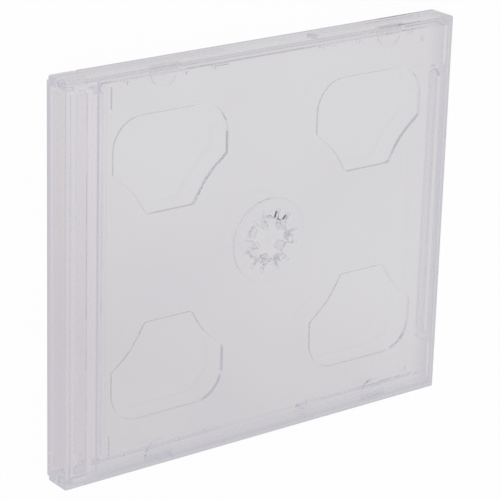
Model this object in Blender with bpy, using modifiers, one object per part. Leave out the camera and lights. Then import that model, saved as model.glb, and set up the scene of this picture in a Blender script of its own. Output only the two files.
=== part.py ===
"""Clear slim case for two discs, lying on its back.

X runs from the hinge spine to the opening edge, Y up the case and Z out of the front.
The origin is under the middle of the closed case, on the plane that it lies on.
Places across the case are given as "u", the distance from the spine's outer face.
"""

import math

import bmesh
import bpy
from mathutils import Matrix, Vector

# Driving sizes of the closed case
WIDTH = 0.142
HEIGHT = 0.124
DEPTH = 0.010
SHEET = 0.0012
GAP = 0.0003
EDGE_ROUND = 0.0004
INNER_ROUND = 0.0003

# How far an added shape is sunk into its neighbour, and a cutter runs past a face
SUNK = 0.0005
PAST = 0.001
# Kept between two faces that would otherwise lie in one plane
HAIR = 0.00005

# Lid
LID_WALL = 0.0012
LID_WALL_FOOT = 0.0015
LID_START = 0.0112
EAR_LENGTH = 0.0093
EAR_FOOT = 0.0002
EAR_CORNER = 0.0014
TAB_SPACING = 0.0835
TAB_MIDDLE = 0.0766
TAB_RADIUS = 0.0048
TAB_REACH = 0.0059
TAB_FOOT = 0.0062
TAB_THICKNESS = 0.0010
WINDOW_LENGTH = 0.0104
WINDOW_SHIFT = -0.0006
WINDOW_FOOT = 0.0072

# Lid pivot, where the ears' pins turn in the base's cheeks
PIVOT_U = 0.0030
PIVOT_Z = 0.0050
PIN_RADIUS = 0.0012
PIN_LENGTH = 0.0012
BORE_CLEARANCE = 0.0003

# Base
END_WALL = 0.0011
END_WALL_TOP = 0.0085
EAR_NOTCH = 0.0097
EAR_NOTCH_DEPTH = 0.0015
RAIL_THICKNESS = 0.0014
RAIL_TOP = 0.0044
RAIL_OPENING = 0.0150
RAIL_RAMP = 0.0020
RAIL_ROUND = 0.0008
CHEEK_END = 0.0086
CHEEK_TOP = 0.0096
CHEEK_CORNER = 0.0022
BLOCK_THICKNESS = 0.0012
BLOCK_TOP = 0.0080
BLOCK_START = 0.0464
BLOCK_END = 0.0588
BLOCK_ROUND = 0.0004
PIP_OFFSET = 0.0232
PIP_RADIUS = 0.0006
PIP_LENGTH = 0.0016
PIP_BELOW_RIM = 0.0014

# Hinge bar beside the spine
BAR_START = 0.0021
BAR_END = 0.0092
BAR_HALF_LENGTH = 0.0581
BAR_WEB = 0.0011
BAR_TOP = 0.0097
FLANGE_END = 0.0185
FLANGE_THICKNESS = 0.0008
ARM_THICKNESS = 0.0015
ARM_RADIUS = 0.0017
ARM_HALF_HEIGHT = 0.00153
ARM_SET_BACK = 0.0001

# Flip tray
TRAY_PIVOT_U = 0.0120
TRAY_MIDDLE = 0.0050
TRAY_SHEET = 0.0012
TRAY_HALF_LENGTH = 0.0585
TRAY_SHOULDER = 0.0144
TRAY_END = 0.1399
TRAY_CORNER_END = 0.1372
TRAY_CORNER_START = 0.0456
TRAY_HINGE_ROUND = 0.0010
TRAY_CORNER_ROUND = 0.0020
KNUCKLE_RADIUS = 0.0013
KNUCKLE_HALF_LENGTH = 0.0562
KNUCKLE_END = 0.0153
KNUCKLE_CHAMFER = 0.0006
KNUCKLE_EDGE = 0.0004
TRAY_PIN_RADIUS = 0.0008
GRIP_RAIL_THICKNESS = 0.0012
GRIP_RAIL_HEIGHT = 0.0048
GRIP_RAIL_HALF_LENGTH = 0.0452
GRIP_RAIL_SLOPE = 0.0026
GRIP_RAIL_ROUND = 0.0004

# Finger openings, seen from the hub
HUB_U = 0.0760
FINGER_OFFSET = 0.0371
FINGER_HALF_WIDTH = 0.0203
FINGER_INNER_HALF = 0.0085
FINGER_OUTER = 0.0472
FINGER_INNER = 0.0168
FINGER_SHOULDER = 0.0306
FINGER_ROUND = 0.0098
FINGER_WAIST = (0.0131, 0.0246)
FINGER_WAIST_ROUND = 0.022
FINGER_TIP_ROUND = 0.0014
FINGER_SHOULDER_ROUND = 0.0012

# Slits as (start u, end u, near and far distance from the middle)
HINGE_SLIT = (0.0176, 0.0180, 0.0504, 0.0572)
FREE_SLIT = (0.1325, 0.1334, 0.0540, 0.0562)

# Hub
PLATFORM_RADIUS = 0.0129
PLATFORM_SLOPE = 0.0016
PLATFORM_RISE = 0.0002
HUB_BORE = 0.0062
HUB_SEAT = 0.0092
SLOT_ANGLE = 12.7
SLOT_WIDTH = 0.0010
SLOT_START = 0.0046
SLOT_END = 0.0105
FINGERS = 6
FINGER_TURN = 360 / FINGERS
POCKET_INNER = 0.0042
POCKET_OUTER = 0.0079
POCKET_TOP = 0.0040
# A crown from its turned-in lip over the bead to its root, as (radius, height above the tray's middle)
CROWN_OUTSIDE = ((0.0053, 0.0024), (0.0058, 0.0027), (0.0068, 0.0026), (0.0075, 0.0022), (0.0072, 0.0018))
CROWN_ROOT = 0.0072
CROWN_INSIDE = ((HUB_BORE, 0.0014), (0.0058, 0.0019), (0.0053, 0.0020))

# Nibs outside the disc's rim, as (distance from the hub along the edge, length)
DISC_NIBS = ((0.0199, 0.0052), (0.0321, 0.0012), (0.0525, 0.0012))
NIB_HEIGHT = 0.0008
NIB_DEPTH = 0.0009
NIB_PLACE = 0.0576

BODY_COLOUR = (0.90, 0.90, 0.93, 1.0)
TRAY_COLOUR = (0.91, 0.91, 0.92, 1.0)
CASE_NAME = "cd_jewel_case"
SHAPES_NAME = "construction_shapes"

ARC_STEP = math.radians(9)
# Full round ends stop just short of half the width, so that no edge there has no length
NEARLY_WHOLE = 0.98


def across(u):
    """Turn a distance from the spine into a world X."""
    return u - WIDTH / 2


def clear_scene():
    for old in list(bpy.data.objects):
        bpy.data.objects.remove(old, do_unlink=True)


def make_collections():
    case = bpy.data.collections.new(CASE_NAME)
    shapes = bpy.data.collections.new(SHAPES_NAME)
    for collection in (case, shapes):
        bpy.context.scene.collection.children.link(collection)
    return case, shapes


def rounded(corners):
    """Turn corners given as (a, b, radius) into an outline with true fillet arcs."""
    outline = []
    for index, (a, b, radius) in enumerate(corners):
        here = Vector((a, b))
        before = Vector(corners[index - 1][:2]) - here
        after = Vector(corners[(index + 1) % len(corners)][:2]) - here
        if radius == 0:
            outline.append((a, b))
            continue
        half = before.angle(after) / 2
        reach = radius / math.tan(half)
        centre = here + (before.normalized() + after.normalized()).normalized() * radius / math.sin(half)
        start = here + before.normalized() * reach - centre
        end = here + after.normalized() * reach - centre
        sweep = math.atan2(start.x * end.y - start.y * end.x, start.dot(end))
        steps = max(2, round(abs(sweep) / ARC_STEP))
        for step in range(steps + 1):
            turned = Matrix.Rotation(sweep * step / steps, 2) @ start
            outline.append(tuple(centre + turned))
    return outline


def rectangle(a0, a1, b0, b1, radius=0.0):
    return rounded([(a0, b0, radius), (a1, b0, radius), (a1, b1, radius), (a0, b1, radius)])


def circle(a, b, radius, sides=40):
    turns = [2 * math.pi * side / sides for side in range(sides)]
    return [(a + radius * math.cos(turn), b + radius * math.sin(turn)) for turn in turns]


# Each entry turns a flat outline's own axes so that it is drawn out along X, Y or Z
DRAWN_ALONG = {
    "X": Matrix(((0, 0, 1, 0), (1, 0, 0, 0), (0, 1, 0, 0), (0, 0, 0, 1))),
    "Y": Matrix(((1, 0, 0, 0), (0, 0, -1, 0), (0, 1, 0, 0), (0, 0, 0, 1))),
    "Z": Matrix.Identity(4),
}


def drawn_out(name, collection, outlines, along, start, end, edge_round=0.0):
    """Draw flat outlines out along an axis, from start to end, with rounded rims."""
    curve = bpy.data.curves.new(name + "_curve", "CURVE")
    curve.dimensions = "2D"
    curve.fill_mode = "BOTH"
    curve.extrude = (end - start) / 2 - edge_round
    curve.bevel_depth = edge_round
    curve.offset = -edge_round
    curve.bevel_resolution = 1
    for outline in outlines:
        spline = curve.splines.new("POLY")
        spline.points.add(len(outline) - 1)
        spline.use_cyclic_u = True
        for point, (a, b) in zip(spline.points, outline):
            point.co = (a, b, 0, 1)
    drawn = bpy.data.objects.new(name + "_curve", curve)
    collection.objects.link(drawn)
    middle = (start + end) / 2
    sign = -1 if along == "Y" else 1
    drawn.matrix_world = DRAWN_ALONG[along] @ Matrix.Translation((0, 0, sign * middle))
    bpy.context.view_layer.update()
    evaluated = drawn.evaluated_get(bpy.context.evaluated_depsgraph_get())
    mesh = bpy.data.meshes.new_from_object(evaluated)
    mesh.transform(drawn.matrix_world)
    bpy.data.objects.remove(drawn, do_unlink=True)
    weld(mesh)
    return link_mesh(name, mesh, collection)


def weld(mesh):
    welded = bmesh.new()
    welded.from_mesh(mesh)
    bmesh.ops.remove_doubles(welded, verts=welded.verts, dist=1e-6)
    bmesh.ops.recalc_face_normals(welded, faces=welded.faces)
    welded.to_mesh(mesh)
    welded.free()


def link_mesh(name, mesh, collection):
    mesh.materials.clear()
    made = bpy.data.objects.new(name, mesh)
    collection.objects.link(made)
    return made


def block(name, collection, low, high):
    """A plain box between two corners."""
    low, high = Vector(low), Vector(high)
    built = bmesh.new()
    size = high - low
    placed = Matrix.Translation((low + high) / 2) @ Matrix.Diagonal((*size, 1))
    bmesh.ops.create_cube(built, size=1, matrix=placed)
    mesh = bpy.data.meshes.new(name)
    built.to_mesh(mesh)
    built.free()
    return link_mesh(name, mesh, collection)


def rod(name, collection, u, z, radius, y0, y1, sides=32):
    """A cylinder along Y, such as a pin or the cutter of its bore."""
    built = bmesh.new()
    placed = Matrix.Translation((across(u), (y0 + y1) / 2, z)) @ Matrix.Rotation(math.pi / 2, 4, "X")
    bmesh.ops.create_cone(
        built, cap_ends=True, segments=sides, radius1=radius, radius2=radius, depth=y1 - y0, matrix=placed
    )
    mesh = bpy.data.meshes.new(name)
    built.to_mesh(mesh)
    built.free()
    return link_mesh(name, mesh, collection)


def turned(name, collection, profile, steps=72):
    """A closed profile of (radius, height) points, turned round the hub's axis."""
    mesh = bpy.data.meshes.new(name)
    count = len(profile)
    edges = [(index, (index + 1) % count) for index in range(count)]
    mesh.from_pydata([(radius, 0, z) for radius, z in profile], edges, [])
    ring = link_mesh(name, mesh, collection)
    ring.location = (across(HUB_U), 0, 0)
    screw = ring.modifiers.new("turn", "SCREW")
    screw.axis = "Z"
    screw.angle = 2 * math.pi
    screw.steps = steps
    screw.render_steps = steps
    screw.use_merge_vertices = True
    screw.merge_threshold = HAIR / 5
    screw.use_normal_calculate = True
    return ring


def combine(part, shape, operation):
    modifier = part.modifiers.new(operation.lower() + "_" + shape.name, "BOOLEAN")
    modifier.operation = operation
    modifier.solver = "EXACT"
    modifier.object = shape
    shape.hide_render = True
    shape.display_type = "WIRE"


def add(part, shape):
    combine(part, shape, "UNION")


def cut(part, shape):
    combine(part, shape, "DIFFERENCE")


def clear_plastic(name, colour):
    material = bpy.data.materials.new(name)
    material.use_nodes = True
    surface = material.node_tree.nodes["Principled BSDF"]
    surface.inputs["Base Color"].default_value = colour
    surface.inputs["Roughness"].default_value = 0.08
    surface.inputs["Metallic"].default_value = 0.0
    surface.inputs["IOR"].default_value = 1.59
    surface.inputs["Transmission Weight"].default_value = 0.95
    material.diffuse_color = colour
    return material


def finish(part, material, origin):
    """Give a part its material, smooth shading and an origin on its joint's axis."""
    part.data.materials.append(material)
    part.data.transform(Matrix.Translation(-Vector(origin)))
    part.location = origin
    part.data.shade_smooth()
    part.data.set_sharp_from_angle(angle=math.radians(35))


def lid_side_outline():
    """The lid seen along Y: the front sheet's edge, the side wall and the hinge ear."""
    foot = LID_WALL_FOOT
    return rounded([
        (across(0), DEPTH, EDGE_ROUND),
        (across(0), EAR_FOOT, EAR_CORNER),
        (across(EAR_LENGTH), EAR_FOOT, LID_WALL_FOOT - EAR_FOOT),
        (across(EAR_LENGTH), foot, 0),
        (across(WIDTH), foot, EDGE_ROUND),
        (across(WIDTH), DEPTH, EDGE_ROUND),
    ])


def make_lid(case, shapes):
    half = HEIGHT / 2
    inner = half - LID_WALL
    lid = drawn_out("lid", case, [lid_side_outline()], "Y", -half, half, EDGE_ROUND)
    hollow = block(
        "lid_hollow", shapes, (across(-PAST), -inner, -PAST), (across(WIDTH + PAST), inner, DEPTH - SHEET)
    )
    cut(lid, hollow)
    hinge_gap = drawn_out(
        "lid_hinge_gap", shapes, [rectangle(across(-PAST), across(LID_START), -inner, inner)],
        "Z", DEPTH - 2 * SHEET, DEPTH + PAST,
    )
    cut(lid, hinge_gap)
    for side, label in ((1, "upper"), (-1, "lower")):
        for place, end in ((-1, "hinge"), (1, "opening")):
            u = TAB_MIDDLE + place * TAB_SPACING / 2
            name = label + "_" + end
            tab = half_moon("tab_" + name, shapes, u, side * inner, side)
            add(lid, tab)
            window_u = u + WINDOW_SHIFT
            low_y, high_y = sorted((side * (inner - SUNK), side * (half + PAST)))
            window = block(
                "window_" + name, shapes,
                (across(window_u - WINDOW_LENGTH / 2), low_y, WINDOW_FOOT),
                (across(window_u + WINDOW_LENGTH / 2), high_y, DEPTH - SHEET),
            )
            cut(lid, window)
        low_y, high_y = sorted((side * (inner + LID_WALL / 2), side * (inner - PIN_LENGTH)))
        add(lid, rod("lid_pin_" + label, shapes, PIVOT_U, PIVOT_Z, PIN_RADIUS, low_y, high_y))
    return lid


def half_moon(name, shapes, u, wall_y, side):
    """The rounded tab inside the lid's wall that keeps a booklet in place."""
    root_y = wall_y + side * SUNK
    points = [(across(u) + TAB_RADIUS, root_y), (across(u) - TAB_RADIUS, root_y)]
    steps = 18
    for step in range(steps + 1):
        turn = math.pi * step / steps
        a = across(u) - TAB_RADIUS * math.cos(turn)
        points.append((a, wall_y - side * TAB_REACH * math.sin(turn)))
    if side > 0:
        points.reverse()
    return drawn_out(name, shapes, [points], "Z", TAB_FOOT, TAB_FOOT + TAB_THICKNESS)


def base_side_outline():
    """The base seen along Y: back sheet, tall spine wall and lower opening wall."""
    return rounded([
        (across(0), 0, EDGE_ROUND),
        (across(WIDTH), 0, EDGE_ROUND),
        (across(WIDTH), END_WALL_TOP, EDGE_ROUND),
        (across(WIDTH - END_WALL), END_WALL_TOP, EDGE_ROUND),
        (across(WIDTH - END_WALL), SHEET, INNER_ROUND),
        (across(SHEET), SHEET, INNER_ROUND),
        (across(SHEET), DEPTH, EDGE_ROUND),
        (across(0), DEPTH, EDGE_ROUND),
    ])


def make_base(case, shapes):
    half = HEIGHT / 2
    shoulder = half - EAR_NOTCH_DEPTH
    rail_inner = shoulder - RAIL_THICKNESS
    wall_face = WIDTH - END_WALL
    low_u, high_u = across(-PAST), across(WIDTH + PAST)
    base = drawn_out("base", case, [base_side_outline()], "Y", -half, half, EDGE_ROUND)
    for side, label in ((1, "upper"), (-1, "lower")):
        low_y, high_y = sorted((side * shoulder, side * (half + PAST)))
        cut(base, block(
            "wall_step_" + label, shapes, (low_u, low_y, SHEET), (high_u, high_y, DEPTH + PAST),
        ))
        cut(base, block(
            "ear_notch_" + label, shapes, (low_u, low_y, -PAST), (across(EAR_NOTCH), high_y, DEPTH + PAST),
        ))
        low_y, high_y = sorted((side * shoulder, side * rail_inner))
        add(base, drawn_out(
            "cheek_and_rail_" + label, shapes, [cheek_outline()], "Y", low_y, high_y,
        ))
        add(base, drawn_out(
            "rail_" + label, shapes, [rail_outline()], "Y", low_y, high_y,
        ))
        cut(base, rod(
            "cheek_bore_" + label, shapes, PIVOT_U, PIVOT_Z, PIN_RADIUS + BORE_CLEARANCE,
            low_y - PAST, high_y + PAST,
        ))
        low_y, high_y = sorted((side * BLOCK_START, side * BLOCK_END))
        corner_block = rounded([
            (across(wall_face - BLOCK_THICKNESS), SHEET - SUNK, 0),
            (across(wall_face + SUNK), SHEET - SUNK, 0),
            (across(wall_face + SUNK), BLOCK_TOP, 0),
            (across(wall_face - BLOCK_THICKNESS), BLOCK_TOP, BLOCK_ROUND),
        ])
        add(base, drawn_out("corner_block_" + label, shapes, [corner_block], "Y", low_y, high_y))
        low_y = side * PIP_OFFSET - PIP_LENGTH / 2
        add(base, rod(
            "closing_pip_" + label, shapes, wall_face, END_WALL_TOP - PIP_BELOW_RIM, PIP_RADIUS,
            low_y, low_y + PIP_LENGTH, 16,
        ))
    return base


def rail_outline():
    """The side rail beside the opening edge, seen along Y, with a ramp at its free end."""
    start = HUB_U + RAIL_OPENING
    end = WIDTH - END_WALL + SUNK
    return rounded([
        (across(start), SHEET - SUNK, 0), (across(end), SHEET - SUNK, 0),
        (across(end), RAIL_TOP, 0), (across(start + RAIL_RAMP), RAIL_TOP, RAIL_ROUND),
    ])


def cheek_outline():
    """The side rail beside the spine, seen along Y, which rises into the hinge cheek."""
    start = SHEET - SUNK
    end = HUB_U - RAIL_OPENING
    return rounded([
        (across(start), SHEET - SUNK, 0), (across(end), SHEET - SUNK, 0),
        (across(end - RAIL_RAMP), RAIL_TOP, RAIL_ROUND), (across(CHEEK_END + PAST), RAIL_TOP, RAIL_ROUND),
        (across(CHEEK_END), CHEEK_TOP, CHEEK_CORNER), (across(start), CHEEK_TOP, 0),
    ])


def bar_outline():
    """The hinge bar seen along Y: a channel with its mouth down, and a flange along the back sheet."""
    foot = SHEET + GAP
    panel_foot = BAR_TOP - SHEET
    return rounded([
        (across(BAR_START), foot, 0), (across(BAR_START + BAR_WEB), foot, 0),
        (across(BAR_START + BAR_WEB), panel_foot, INNER_ROUND),
        (across(BAR_END - BAR_WEB), panel_foot, INNER_ROUND),
        (across(BAR_END - BAR_WEB), foot, 0), (across(FLANGE_END), foot, 0),
        (across(FLANGE_END), foot + FLANGE_THICKNESS, INNER_ROUND),
        (across(BAR_END), foot + FLANGE_THICKNESS, INNER_ROUND),
        (across(BAR_END), BAR_TOP, EDGE_ROUND), (across(BAR_START), BAR_TOP, EDGE_ROUND),
    ])


def make_hinge_bar(case, shapes):
    bar = drawn_out("tray_hinge_bar", case, [bar_outline()], "Y", -BAR_HALF_LENGTH, BAR_HALF_LENGTH)
    for side, label in ((1, "upper"), (-1, "lower")):
        low_y, high_y = sorted((
            side * (BAR_HALF_LENGTH - ARM_THICKNESS),
            side * (BAR_HALF_LENGTH - ARM_SET_BACK),
        ))
        root, tip = across(BAR_END - SUNK), across(TRAY_PIVOT_U + ARM_RADIUS)
        low_z, high_z = TRAY_MIDDLE - ARM_HALF_HEIGHT, TRAY_MIDDLE + ARM_HALF_HEIGHT
        nose = ARM_HALF_HEIGHT * NEARLY_WHOLE
        arm = rounded([(root, low_z, 0), (tip, low_z, nose), (tip, high_z, nose), (root, high_z, 0)])
        add(bar, drawn_out("arm_" + label, shapes, [arm], "Y", low_y, high_y))
        bore = rod(
            "arm_bore_" + label, shapes, TRAY_PIVOT_U, TRAY_MIDDLE, TRAY_PIN_RADIUS + BORE_CLEARANCE,
            low_y - PAST, high_y + PAST, 24,
        )
        cut(bar, bore)
    return bar


def tray_outline():
    """The flip tray's sheet seen from the front."""
    upper = [
        (across(TRAY_PIVOT_U), KNUCKLE_HALF_LENGTH, 0), (across(TRAY_SHOULDER), KNUCKLE_HALF_LENGTH, 0),
        (across(TRAY_SHOULDER), TRAY_HALF_LENGTH, TRAY_HINGE_ROUND),
        (across(TRAY_CORNER_END), TRAY_HALF_LENGTH, TRAY_CORNER_ROUND),
        (across(TRAY_CORNER_END), TRAY_CORNER_START, EDGE_ROUND),
        (across(TRAY_END), TRAY_CORNER_START, EDGE_ROUND),
    ]
    lower = [(a, -b, radius) for a, b, radius in reversed(upper)]
    return rounded(upper + lower)


def finger_opening(place, side):
    """One finger opening: wide and round outside, straight sides, then waisted in to the hub."""
    waist_a, waist_b = FINGER_WAIST
    right = [
        (FINGER_INNER_HALF, FINGER_INNER, FINGER_TIP_ROUND), (waist_a, waist_b, FINGER_WAIST_ROUND),
        (FINGER_HALF_WIDTH, FINGER_SHOULDER, FINGER_SHOULDER_ROUND),
        (FINGER_HALF_WIDTH, FINGER_OUTER, FINGER_ROUND),
    ]
    left = [(-a, b, radius) for a, b, radius in reversed(right)]
    centre = across(HUB_U + place * FINGER_OFFSET)
    return rounded([(centre + a, side * b, radius) for a, b, radius in right + left])


def corner_slits():
    """Slits that let the hinge corners spring, and short ones by the free corners."""
    slits = []
    for side in (-1, 1):
        for u0, u1, near, far in (HINGE_SLIT, FREE_SLIT):
            low, high = sorted((side * near, side * far))
            slits.append(rectangle(across(u0), across(u1), low, high, (u1 - u0) / 2 * NEARLY_WHOLE))
    return slits


def hub_slots():
    """Twelve round-ended slots in pairs, one either side of each narrow finger."""
    half = SLOT_WIDTH / 2
    slots = []
    for finger in range(FINGERS):
        for side in (-1, 1):
            turn = Matrix.Rotation(math.radians(FINGER_TURN * finger + side * SLOT_ANGLE), 2)
            slot = rectangle(SLOT_START, SLOT_END, -half, half, half * NEARLY_WHOLE)
            points = [turn @ Vector(point) for point in slot]
            slots.append([(across(HUB_U) + point.x, point.y) for point in points])
    return slots


def finger_sectors(first, half_angle):
    """Six ring sectors over every other finger, to take away one face's crown there."""
    steps = 8
    sectors = []
    for finger in range(FINGERS):
        middle = math.radians(first + FINGER_TURN * finger)
        spread = math.radians(half_angle)
        turns = [middle - spread + 2 * spread * step / steps for step in range(steps + 1)]
        points = [(POCKET_OUTER * math.cos(turn), POCKET_OUTER * math.sin(turn)) for turn in turns]
        turns.reverse()
        points += [(POCKET_INNER * math.cos(turn), POCKET_INNER * math.sin(turn)) for turn in turns]
        sectors.append([(across(HUB_U) + a, b) for a, b in points])
    return sectors


def hub_profile():
    """Half of the hub's section: platform, then a crown with bead and turned-in lip on each face."""
    rise = TRAY_SHEET / 2 + PLATFORM_RISE
    rim = [(CROWN_ROOT, rise), (PLATFORM_RADIUS, rise), (PLATFORM_RADIUS + PLATFORM_SLOPE, TRAY_SHEET / 3)]
    outside = list(CROWN_OUTSIDE) + rim
    inside = list(CROWN_INSIDE)
    down = outside + [(radius, -height) for radius, height in reversed(outside)]
    up = [(radius, -height) for radius, height in reversed(inside)] + inside
    return [(radius, TRAY_MIDDLE + height) for radius, height in down + up]


def make_hub(shapes):
    """The double-sided hub: narrow fingers rise from the front, wide ones from the back."""
    hub = turned("hub", shapes, hub_profile())
    floor = TRAY_SHEET / 2 + PLATFORM_RISE - HAIR
    wide = FINGER_TURN / 2
    for face, first, half_angle in (("front", wide, wide - SLOT_ANGLE), ("back", 0, SLOT_ANGLE)):
        sign = 1 if face == "front" else -1
        low, high = sorted((TRAY_MIDDLE + sign * floor, TRAY_MIDDLE + sign * POCKET_TOP))
        cut(hub, drawn_out(face + "_pockets", shapes, finger_sectors(first, half_angle), "Z", low, high))
    low, high = TRAY_MIDDLE - POCKET_TOP, TRAY_MIDDLE + POCKET_TOP
    cut(hub, drawn_out("hub_slots", shapes, hub_slots(), "Z", low, high))
    return hub


def make_tray(case, shapes):
    half_sheet = TRAY_SHEET / 2
    low, high = TRAY_MIDDLE - half_sheet, TRAY_MIDDLE + half_sheet
    tray = drawn_out("flip_tray", case, [tray_outline()], "Z", low, high)
    openings = [finger_opening(place, side) for place in (-1, 1) for side in (-1, 1)]
    openings += corner_slits()
    openings.append(circle(across(HUB_U), 0, HUB_SEAT, 48))
    cut(tray, drawn_out("tray_openings", shapes, openings, "Z", low - PAST, high + PAST))
    add(tray, make_hub(shapes))
    add_knuckle(tray, shapes)
    add_grip_rail(tray, shapes)
    add_nibs(tray, shapes)
    return tray


def add_knuckle(tray, shapes):
    nose_u = TRAY_PIVOT_U - KNUCKLE_RADIUS
    round_off = KNUCKLE_RADIUS * NEARLY_WHOLE
    chamfer = across(KNUCKLE_END - KNUCKLE_CHAMFER)
    outline = rounded([
        (across(nose_u), TRAY_MIDDLE - KNUCKLE_RADIUS, round_off),
        (chamfer, TRAY_MIDDLE - KNUCKLE_RADIUS, INNER_ROUND),
        (across(KNUCKLE_END), TRAY_MIDDLE - KNUCKLE_EDGE, 0),
        (across(KNUCKLE_END), TRAY_MIDDLE + KNUCKLE_EDGE, 0),
        (chamfer, TRAY_MIDDLE + KNUCKLE_RADIUS, INNER_ROUND),
        (across(nose_u), TRAY_MIDDLE + KNUCKLE_RADIUS, round_off),
    ])
    length = KNUCKLE_HALF_LENGTH - ARM_SET_BACK
    add(tray, drawn_out("knuckle", shapes, [outline], "Y", -length, length))
    for side, label in ((1, "upper"), (-1, "lower")):
        low_y, high_y = sorted((side * (length - PAST), side * (BAR_HALF_LENGTH - GAP)))
        pin = rod(
            "tray_pin_" + label, shapes, TRAY_PIVOT_U, TRAY_MIDDLE, TRAY_PIN_RADIUS, low_y, high_y, 24,
        )
        add(tray, pin)


def add_grip_rail(tray, shapes):
    """The low rail on both faces of the free edge, with sloping ends."""
    end = GRIP_RAIL_HALF_LENGTH
    top_end = end - GRIP_RAIL_SLOPE
    low_z, high_z = TRAY_MIDDLE - GRIP_RAIL_HEIGHT / 2, TRAY_MIDDLE + GRIP_RAIL_HEIGHT / 2
    outline = rounded([
        (-end, TRAY_MIDDLE, 0),
        (-top_end, low_z, GRIP_RAIL_ROUND), (top_end, low_z, GRIP_RAIL_ROUND),
        (end, TRAY_MIDDLE, 0),
        (top_end, high_z, GRIP_RAIL_ROUND), (-top_end, high_z, GRIP_RAIL_ROUND),
    ])
    start = across(TRAY_END - GRIP_RAIL_THICKNESS)
    add(tray, drawn_out("grip_rail", shapes, [outline], "X", start, across(TRAY_END - HAIR)))


def add_nibs(tray, shapes):
    """Short nibs just outside the disc's rim, on both faces of the long edges."""
    rise = TRAY_SHEET / 2 + NIB_HEIGHT
    low_z, high_z = TRAY_MIDDLE - rise, TRAY_MIDDLE + rise
    for side, label in ((1, "upper"), (-1, "lower")):
        low_y, high_y = sorted((side * (NIB_PLACE - NIB_DEPTH / 2), side * (NIB_PLACE + NIB_DEPTH / 2)))
        for number, (offset, length) in enumerate(DISC_NIBS):
            for place, end in ((-1, "hinge"), (1, "opening")):
                middle = across(HUB_U + place * offset)
                nib = block(
                    "nib_" + label + "_" + end + str(number), shapes,
                    (middle - length / 2, low_y, low_z), (middle + length / 2, high_y, high_z),
                )
                add(tray, nib)


def main():
    clear_scene()
    case, shapes = make_collections()
    body_plastic = clear_plastic("clear_case_plastic", BODY_COLOUR)
    tray_plastic = clear_plastic("clear_tray_plastic", TRAY_COLOUR)
    centre = (0, 0, 0)
    finish(make_base(case, shapes), body_plastic, centre)
    finish(make_lid(case, shapes), body_plastic, (across(PIVOT_U), 0, PIVOT_Z))
    finish(make_hinge_bar(case, shapes), tray_plastic, centre)
    finish(make_tray(case, shapes), tray_plastic, (across(TRAY_PIVOT_U), 0, TRAY_MIDDLE))


main()
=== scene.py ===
"""Looks for the clear slim case for two discs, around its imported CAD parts.

The case is shown as built: no piece is added and no form is changed. Each piece wears a procedural
clear plastic. The studio is pale grey to whatever the plastic mirrors or passes, and white to the
camera, because the case is pale grey in the photo while the ground around it is white.

Lengths are in metres. X runs from the spine to the opening edge, Y up the case, Z out of the front.
"""

import math

import bpy
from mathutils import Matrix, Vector


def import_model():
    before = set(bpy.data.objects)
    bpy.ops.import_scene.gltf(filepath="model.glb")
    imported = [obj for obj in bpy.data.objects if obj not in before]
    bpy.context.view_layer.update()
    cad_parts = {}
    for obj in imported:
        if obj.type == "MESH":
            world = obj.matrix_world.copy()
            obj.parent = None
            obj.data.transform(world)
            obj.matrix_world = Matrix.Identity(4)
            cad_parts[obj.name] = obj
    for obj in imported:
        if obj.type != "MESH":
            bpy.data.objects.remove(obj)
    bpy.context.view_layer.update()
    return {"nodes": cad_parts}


PLASTIC_IOR = 1.59
LIGHT_BOUNCES = 24

# Two mottled tints of each moulding, and the tint of its edges and walls
CASE_TINT = (0.985, 0.980, 0.985)
CASE_TINT_DEEP = (0.975, 0.970, 0.982)
CASE_EDGE = (0.925, 0.915, 0.938)
TRAY_TINT = (0.997, 0.996, 0.997)
TRAY_TINT_DEEP = (0.992, 0.989, 0.995)
TRAY_EDGE = (0.955, 0.950, 0.970)
BAR_TINT = (0.997, 0.985, 0.993)
BAR_TINT_DEEP = (0.991, 0.977, 0.985)
BAR_EDGE = (0.960, 0.948, 0.972)
# Painted glow: where light is still inside the plastic at its last bounce, the plastic glows a faint
# lilac in its place
CASE_PAINTED_GLOW = (0.286, 0.281, 0.317)
TRAY_PAINTED_GLOW = (0.250, 0.246, 0.270)
BAR_PAINTED_GLOW = (0.355, 0.350, 0.388)

# Scale and detail of the noise in the tints and of that in the polish, and the part of each in use
TINT_NOISE = (22.0, 2.0)
TINT_NOISE_SPAN = (0.35, 0.65)
POLISH_NOISE = (160.0, 6.0)
POLISH_NOISE_SPAN = (0.3, 0.7)
ROUGHNESS = (0.004, 0.016)

# How squarely a face looks out of the front or back: an edge or wall at first, a flat sheet at last
FACING = (0.90, 0.99)
# From the case's middle plane, the reach where its inner faces, clear as the tray, become outer ones
CASE_MIDDLE = 0.005
INNER_FACES = (0.0034, 0.0037)

# Where walls stand behind the case's front and back faces, light has more plastic to cross
SHORT_WALLS = (0.0685, 0.0700)
SHORT_WALL_TINT = (0.947, 0.930, 0.943)
LONG_WALLS = (0.0592, 0.0600)
LONG_WALL_TINT = (0.922, 0.912, 0.924)
FOOT = (-0.0620, -0.0590)
FOOT_TINT = (0.925, 0.935, 0.962)

# The painted glow at the last bounce is weaker at the opening edge and round the hub, and stronger
# at the tray's ends
OPENING_EDGE = (0.0660, 0.0665)
OPENING_EDGE_GLOW_SHARE = 0.55
HUB_REACH = (0.0120, 0.0150)
HUB_GLOW_SHARE = 0.20
TRAY_ENDS = (0.0560, 0.0565)
TRAY_END_GLOW_SHARE = 1.30

# The middle of the hub in the tray's own frame, and half the thickness of the tray's sheet
HUB_IN_TRAY = (0.005, 0.0, 0.005)
TRAY_SHEET_HALF = 0.0007
# Cut edges within this reach of the hub's middle are a little hazy; the tray's own ends are not
TRAY_INNER = (0.0530, 0.0545)
TRAY_EDGE_CLEAR = 0.985

# The painted dark reflection and the painted shade on some of the tray's walls show only to light
# that has crossed at most three faces, so that their copies seen deeper in the plastic stay clear
PAINTED_DARK_TO_DEPTH = 3.5
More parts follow.
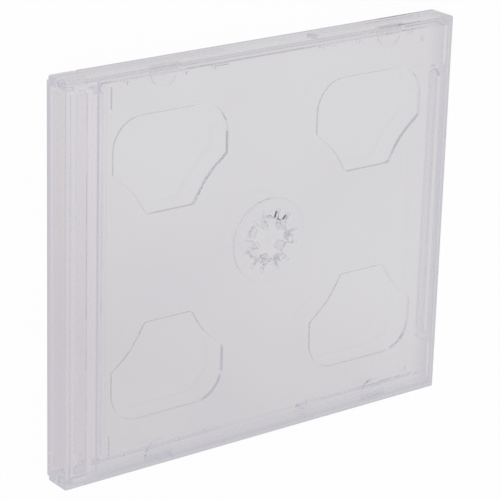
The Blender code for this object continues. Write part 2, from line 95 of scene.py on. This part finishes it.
# Two of the hub's slots, by their angle, and the wall of each painted black as a painted dark
# reflection: middle and reach
PAINTED_DARK_SLOTS = (47.3, 72.7)
PAINTED_DARK_SLOT_LENGTH = (0.0085, 0.0014)
PAINTED_DARK_SLOT_SIDE = (0.0005, 0.0002)
PAINTED_DARK_SLOT_COLOUR = (0.010, 0.010, 0.012)
# The finger openings' middles, measured from the hub, and the side of each whose cut wall gets
# painted shade, a dark hairline, as its middle and reach from there
OPENING_CENTRE = (0.0371, 0.0320)
OPENING_PAINTED_SHADED = ((-0.0063, 0.0146), (0.0008, 0.0152))
OPENING_PAINTED_SHADE = 0.48
OPENING_PAINTED_SHADE_COLOUR = (0.42, 0.39, 0.39)

# What the plastic picks up: pale grey, a little darker and warmer low down, and bluer round about
STUDIO_UPPER = (0.717, 0.713, 0.716)
STUDIO_LOWER = (0.665, 0.646, 0.654)
STUDIO_AROUND = (0.460, 0.475, 0.560)
STUDIO_SLOPE = (0.6, 1.0, 0.0)
STUDIO_SPAN = (-0.055, 0.010)
# Where the floor turns bluer, past the opening edge and past the foot
PAST_OPENING_EDGE = (0.072, 0.088)
PAST_FOOT = (-0.079, -0.063)
# Directions up the case over which the world turns from the bluer grey to the upper one
WORLD_SPAN = (-0.9, -0.2)

FLOOR_WIDTH = 8.0
FLOOR_LEVEL = -0.0002
FLOOR_GREY = (0.85, 0.85, 0.85)
SHADOW_SHARE = 0.03
WHITE = (1.0, 1.0, 1.0)
# The sky's strength falls from its edge to its top over these heights
SKY_HEIGHTS = (0.0, 0.8)
SKY_EDGE = 0.85
SKY_TOP = 0.60
# Each lamp's place, its width and its watts
KEY_LAMP = ((-0.5, 0.9, 1.1), 0.8, 4.0)
FILL_LAMP = ((-0.9, -0.6, 0.9), 1.0, 2.0)

# The camera stands where the photo's perspective puts it: turns in degrees, lens in millimetres
CAMERA_PLACE = (-0.42113, 0.24908, 0.55122)
CAMERA_TURN = (-21.2175, -36.9382, 1.9497)
CAMERA_LENS = 174.914
CAMERA_SENSOR = 36.0
CAMERA_CLIP_START = 0.01

# The Mix node's sockets for colours
MIX_FROM = 6
MIX_TO = 7
MIX_RESULT = 2


def opaque(colour):
    return (*colour, 1.0)


def node(tree, kind, **settings):
    made = tree.nodes.new(kind)
    for name, value in settings.items():
        setattr(made, name, value)
    return made


def noise(tree, place, scale, detail):
    made = node(tree, "ShaderNodeTexNoise")
    made.inputs["Scale"].default_value = scale
    made.inputs["Detail"].default_value = detail
    tree.links.new(place, made.inputs["Vector"])
    return made.outputs["Fac"]


def ramp(tree, fac, low, high, low_colour, high_colour):
    made = node(tree, "ShaderNodeValToRGB")
    for element, position, colour in zip(
        made.color_ramp.elements, (low, high), (low_colour, high_colour)
    ):
        element.position = position
        element.color = opaque(colour)
    tree.links.new(fac, made.inputs["Fac"])
    return made.outputs["Color"]


def span(tree, value, low, high, to_low, to_high):
    """The value spread from one range over another, and held at its ends."""
    made = node(tree, "ShaderNodeMapRange")
    made.inputs["From Min"].default_value = low
    made.inputs["From Max"].default_value = high
    made.inputs["To Min"].default_value = to_low
    made.inputs["To Max"].default_value = to_high
    tree.links.new(value, made.inputs["Value"])
    return made.outputs["Result"]


def computed(tree, operation, value, *numbers):
    """One linked value and some fixed numbers in a Math node."""
    made = node(tree, "ShaderNodeMath", operation=operation)
    tree.links.new(value, made.inputs[0])
    for socket, number in zip(made.inputs[1:], numbers):
        socket.default_value = number
    return made.outputs[0]


def magnitude(tree, value):
    return computed(tree, "ABSOLUTE", value)


def near(tree, value, middle, reach):
    """1 within reach of the middle, and 0 beyond it."""
    return computed(tree, "COMPARE", value, middle, reach)


def joined(tree, operation, one, other):
    """Two linked values in a Math node."""
    made = node(tree, "ShaderNodeMath", operation=operation)
    tree.links.new(one, made.inputs[0])
    tree.links.new(other, made.inputs[1])
    return made.outputs[0]


def times(tree, one, other):
    return joined(tree, "MULTIPLY", one, other)


def either(tree, one, other):
    return joined(tree, "MAXIMUM", one, other)


def axes(tree, vector):
    made = node(tree, "ShaderNodeSeparateXYZ")
    tree.links.new(vector, made.inputs["Vector"])
    return made.outputs


def against(tree, operation, vector, fixed, output):
    """A linked vector and a fixed one in a Vector Math node."""
    made = node(tree, "ShaderNodeVectorMath", operation=operation)
    tree.links.new(vector, made.inputs[0])
    made.inputs[1].default_value = fixed
    return made.outputs[output]


def along(tree, vector, angle):
    """How far the vector goes in the direction of an angle about Z."""
    direction = (math.cos(angle), math.sin(angle), 0.0)
    return against(tree, "DOT_PRODUCT", vector, direction, "Value")


def mixed(tree, fac, one, colour):
    """One colour socket turned towards a fixed colour by fac."""
    made = node(tree, "ShaderNodeMix", data_type="RGBA")
    tree.links.new(fac, made.inputs[0])
    tree.links.new(one, made.inputs[MIX_FROM])
    made.inputs[MIX_TO].default_value = opaque(colour)
    return made.outputs[MIX_RESULT]


def white_light(tree, kind):
    """An Emission or a Background in white, at a strength of 1."""
    made = node(tree, kind)
    made.inputs["Color"].default_value = opaque(WHITE)
    made.inputs["Strength"].default_value = 1.0
    return made


def shader_pair(tree, one, other):
    made = node(tree, "ShaderNodeMixShader")
    tree.links.new(one, made.inputs[1])
    tree.links.new(other, made.inputs[2])
    return made


def blend(tree, fac, one, other):
    made = shader_pair(tree, one, other)
    tree.links.new(fac, made.inputs["Fac"])
    return made.outputs[0]


def by_ray(tree, otherwise, picked_up, seen):
    """One shader for what the plastic mirrors or passes, one for the camera and one for the rest."""
    path = node(tree, "ShaderNodeLightPath").outputs
    by_plastic = either(tree, path["Is Glossy Ray"], path["Is Transmission Ray"])
    mostly = blend(tree, by_plastic, otherwise, picked_up)
    return blend(tree, path["Is Camera Ray"], mostly, seen)


class Moulding:
    """One clear plastic: its node tree, and what its masks read there."""

    def __init__(self, name, painted_glow):
        self.material = bpy.data.materials.new(name)
        self.material.use_nodes = True
        self.tree = self.material.node_tree
        self.surface = self.tree.nodes["Principled BSDF"].inputs
        self.surface["IOR"].default_value = PLASTIC_IOR
        self.surface["Transmission Weight"].default_value = 1.0
        # Painted glow: the emission colour given to light still inside the plastic at its last
        # bounce
        self.surface["Emission Color"].default_value = opaque(painted_glow)
        place = node(self.tree, "ShaderNodeTexCoord").outputs
        self.here = place["Object"]
        self.spot = axes(self.tree, self.here)
        upright = magnitude(self.tree, axes(self.tree, place["Normal"])["Z"])
        self.edge = span(self.tree, upright, *FACING, 1.0, 0.0)
        self.depth = node(self.tree, "ShaderNodeLightPath").outputs["Ray Depth"]
        # Mask for the painted glow: 1 at the last bounce only
        self.last = computed(self.tree, "GREATER_THAN", self.depth, LIGHT_BOUNCES - 0.5)
        polish = noise(self.tree, self.here, *POLISH_NOISE)
        self.set("Roughness", span(self.tree, polish, *POLISH_NOISE_SPAN, *ROUGHNESS))

    def set(self, name, value):
        self.tree.links.new(value, self.surface[name])

    def mottled(self, tint, deep_tint):
        spots = noise(self.tree, self.here, *TINT_NOISE)
        return ramp(self.tree, spots, *TINT_NOISE_SPAN, deep_tint, tint)


def case_plastic():
    """The base's and the lid's: deeper in tint over its walls and along its foot."""
    case = Moulding("clear_case_plastic_moulded", CASE_PAINTED_GLOW)
    tree = case.tree
    from_middle = magnitude(tree, computed(tree, "SUBTRACT", case.spot["Z"], CASE_MIDDLE))
    inner_faces = span(tree, from_middle, *INNER_FACES, 1.0, 0.0)
    across = magnitude(tree, case.spot["X"])
    up_or_down = magnitude(tree, case.spot["Y"])

    tint = case.mottled(CASE_TINT, CASE_TINT_DEEP)
    tint = mixed(tree, inner_faces, tint, TRAY_TINT_DEEP)
    tint = mixed(tree, case.edge, tint, CASE_EDGE)
    tint = mixed(tree, span(tree, across, *SHORT_WALLS, 0.0, 1.0), tint, SHORT_WALL_TINT)
    tint = mixed(tree, span(tree, up_or_down, *LONG_WALLS, 0.0, 1.0), tint, LONG_WALL_TINT)
    tint = mixed(tree, span(tree, case.spot["Y"], *FOOT, 1.0, 0.0), tint, FOOT_TINT)
    case.set("Base Color", tint)
    # Painted glow at the last bounce, weaker at the opening edge
    glow_share = span(tree, case.spot["X"], *OPENING_EDGE, 1.0, OPENING_EDGE_GLOW_SHARE)
    case.set("Emission Strength", times(tree, case.last, glow_share))
    return case.material


def bar_plastic():
    """The hinge bar's: plain, with edges of their own tint and a painted glow at the last bounce."""
    bar = Moulding("clear_bar_plastic_moulded", BAR_PAINTED_GLOW)
    tint = bar.mottled(BAR_TINT, BAR_TINT_DEEP)
    bar.set("Base Color", mixed(bar.tree, bar.edge, tint, BAR_EDGE))
    # Painted glow at the last bounce
    bar.set("Emission Strength", bar.last)
    return bar.material


def painted_dark_slot_walls(tree, from_hub):
    """A mask over one wall of each of two of the hub's slots, where a dark reflection is painted."""
    masks = []
    for degrees in PAINTED_DARK_SLOTS:
        angle = math.radians(degrees)
        length = near(tree, along(tree, from_hub, angle), *PAINTED_DARK_SLOT_LENGTH)
        side = near(tree, along(tree, from_hub, angle + math.pi / 2), *PAINTED_DARK_SLOT_SIDE)
        masks.append(times(tree, length, side))
    return either(tree, *masks)


def painted_shade_opening_walls(tree, from_hub):
    """A mask over the left and upper cut walls of the four finger openings, where shade is painted.
    """
    spot = axes(tree, from_hub)
    masks = []
    for axis, centre, (middle, reach) in zip("XY", OPENING_CENTRE, OPENING_PAINTED_SHADED):
        # Cells from hub to far side: an opening stands in the middle of each
        cell = computed(tree, "WRAP", spot[axis], 2 * centre, 0.0)
        masks.append(near(tree, cell, centre + middle, reach))
    return times(tree, *masks)


def tray_plastic():
    """The clear leaf's: hazy at its inner cut edges, with painted dark reflection and painted shade
    on some walls.
    """
    tray = Moulding("clear_tray_plastic_moulded", TRAY_PAINTED_GLOW)
    tree = tray.tree
    from_hub = against(tree, "SUBTRACT", tray.here, HUB_IN_TRAY, "Vector")
    in_sheet = near(tree, axes(tree, from_hub)["Z"], 0.0, TRAY_SHEET_HALF)
    direct = computed(tree, "LESS_THAN", tray.depth, PAINTED_DARK_TO_DEPTH)
    seen_wall = times(tree, tray.edge, times(tree, in_sheet, direct))
    # Painted dark reflection: one wall of each of two hub slots
    dark = times(tree, painted_dark_slot_walls(tree, from_hub), seen_wall)
    # Painted shade: the left and upper cut walls of the finger openings
    shade = times(tree, painted_shade_opening_walls(tree, from_hub), seen_wall)

    tint = tray.mottled(TRAY_TINT, TRAY_TINT_DEEP)
    tint = mixed(tree, tray.edge, tint, TRAY_EDGE)
    # Painted dark reflection and painted shade in the tint
    tint = mixed(tree, dark, tint, PAINTED_DARK_SLOT_COLOUR)
    tint = mixed(tree, shade, tint, OPENING_PAINTED_SHADE_COLOUR)
    tray.set("Base Color", tint)
    # Painted dark reflection and painted shade also turn these walls partly metallic
    tray.set("Metallic", either(tree, dark, span(tree, shade, 0.0, 1.0, 0.0, OPENING_PAINTED_SHADE)))

    across = near(tree, tray.spot["X"], HUB_IN_TRAY[0], TRAY_INNER[0])
    up = near(tree, tray.spot["Y"], HUB_IN_TRAY[1], TRAY_INNER[1])
    inner_edge = times(tree, tray.edge, times(tree, across, up))
    tray.set("Transmission Weight", span(tree, inner_edge, 0.0, 1.0, 1.0, TRAY_EDGE_CLEAR))

    # Painted glow at the last bounce, weaker round the hub and stronger at the tray's ends
    reach = against(tree, "DISTANCE", tray.here, HUB_IN_TRAY, "Value")
    by_hub = span(tree, reach, *HUB_REACH, HUB_GLOW_SHARE, 1.0)
    up_or_down = magnitude(tree, tray.spot["Y"])
    at_ends = span(tree, up_or_down, *TRAY_ENDS, 1.0, TRAY_END_GLOW_SHARE)
    tray.set("Emission Strength", times(tree, tray.last, times(tree, by_hub, at_ends)))
    return tray.material


def dress(frame):
    case = case_plastic()
    worn_by = {
        "base": case,
        "lid": case,
        "tray_hinge_bar": bar_plastic(),
        "flip_tray": tray_plastic(),
    }
    for name, material in worn_by.items():
        for slot in frame["nodes"][name].material_slots:
            slot.material = material


def floor_material():
    """White with a faint shadow to the camera, and the studio's greys to the plastic."""
    material = bpy.data.materials.new("floor_white")
    material.use_nodes = True
    tree = material.node_tree
    tree.nodes.clear()
    here = node(tree, "ShaderNodeTexCoord").outputs["Object"]
    spot = axes(tree, here)
    slope = against(tree, "DOT_PRODUCT", here, STUDIO_SLOPE, "Value")
    up_case = span(tree, slope, *STUDIO_SPAN, 0.0, 1.0)
    past_edge = span(tree, spot["X"], *PAST_OPENING_EDGE, 0.0, 1.0)
    past_foot = span(tree, spot["Y"], *PAST_FOOT, 1.0, 0.0)
    grey = ramp(tree, up_case, 0.0, 1.0, STUDIO_LOWER, STUDIO_UPPER)
    grey = mixed(tree, either(tree, past_foot, past_edge), grey, STUDIO_AROUND)
    studio = white_light(tree, "ShaderNodeEmission")
    tree.links.new(grey, studio.inputs["Color"])

    matt = node(tree, "ShaderNodeBsdfDiffuse")
    matt.inputs["Color"].default_value = opaque(FLOOR_GREY)
    white = white_light(tree, "ShaderNodeEmission")
    shaded = shader_pair(tree, matt.outputs[0], white.outputs[0])
    shaded.inputs["Fac"].default_value = 1.0 - SHADOW_SHARE
    out = node(tree, "ShaderNodeOutputMaterial")
    chosen = by_ray(tree, matt.outputs[0], studio.outputs[0], shaded.outputs[0])
    tree.links.new(chosen, out.inputs["Surface"])
    return material


def make_floor():
    bpy.ops.mesh.primitive_plane_add(size=FLOOR_WIDTH, location=(0.0, 0.0, FLOOR_LEVEL))
    floor = bpy.context.object
    floor.name = "floor"
    floor.data.materials.append(floor_material())


def make_world():
    """White to the camera, the studio's greys to the plastic, and a soft sky to all the rest."""
    world = bpy.data.worlds.new("studio")
    bpy.context.scene.world = world
    world.use_nodes = True
    tree = world.node_tree
    tree.nodes.clear()
    way = axes(tree, node(tree, "ShaderNodeTexCoord").outputs["Generated"])
    sky = white_light(tree, "ShaderNodeBackground")
    strength = span(tree, way["Z"], *SKY_HEIGHTS, SKY_EDGE, SKY_TOP)
    tree.links.new(strength, sky.inputs["Strength"])
    studio = white_light(tree, "ShaderNodeBackground")
    up_case = span(tree, way["Y"], *WORLD_SPAN, 0.0, 1.0)
    grey = ramp(tree, up_case, 0.0, 1.0, STUDIO_AROUND, STUDIO_UPPER)
    tree.links.new(grey, studio.inputs["Color"])
    white = white_light(tree, "ShaderNodeBackground")
    out = node(tree, "ShaderNodeOutputWorld")
    chosen = by_ray(tree, sky.outputs[0], studio.outputs[0], white.outputs[0])
    tree.links.new(chosen, out.inputs["Surface"])


def soft_lamp(name, place, width, watts):
    """A round lamp turned to the case, left out of what the plastic mirrors or passes."""
    light = bpy.data.lights.new(name, "AREA")
    light.shape = "DISK"
    light.size = width
    light.energy = watts
    lamp = bpy.data.objects.new(name, light)
    bpy.context.scene.collection.objects.link(lamp)
    lamp.location = place
    lamp.visible_glossy = False
    lamp.visible_transmission = False
    lamp.rotation_euler = (-Vector(place)).to_track_quat("-Z", "Y").to_euler()


def make_camera():
    data = bpy.data.cameras.new("photo_camera")
    data.lens = CAMERA_LENS
    data.sensor_width = CAMERA_SENSOR
    data.clip_start = CAMERA_CLIP_START
    camera = bpy.data.objects.new("photo_camera", data)
    bpy.context.scene.collection.objects.link(camera)
    camera.location = CAMERA_PLACE
    camera.rotation_euler = [math.radians(turn) for turn in CAMERA_TURN]
    bpy.context.scene.camera = camera


def allow_bounces():
    """A shut case has up to a dozen clear faces in a row, so light bounces more than usual."""
    cycles = bpy.context.scene.cycles
    cycles.max_bounces = LIGHT_BOUNCES
    cycles.transmission_bounces = LIGHT_BOUNCES
    cycles.glossy_bounces = LIGHT_BOUNCES


def main():
    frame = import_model()
    dress(frame)
    make_floor()
    make_world()
    soft_lamp("key_lamp", *KEY_LAMP)
    soft_lamp("fill_lamp", *FILL_LAMP)
    make_camera()
    bpy.context.scene.view_settings.view_transform = "Standard"
    allow_bounces()


main()
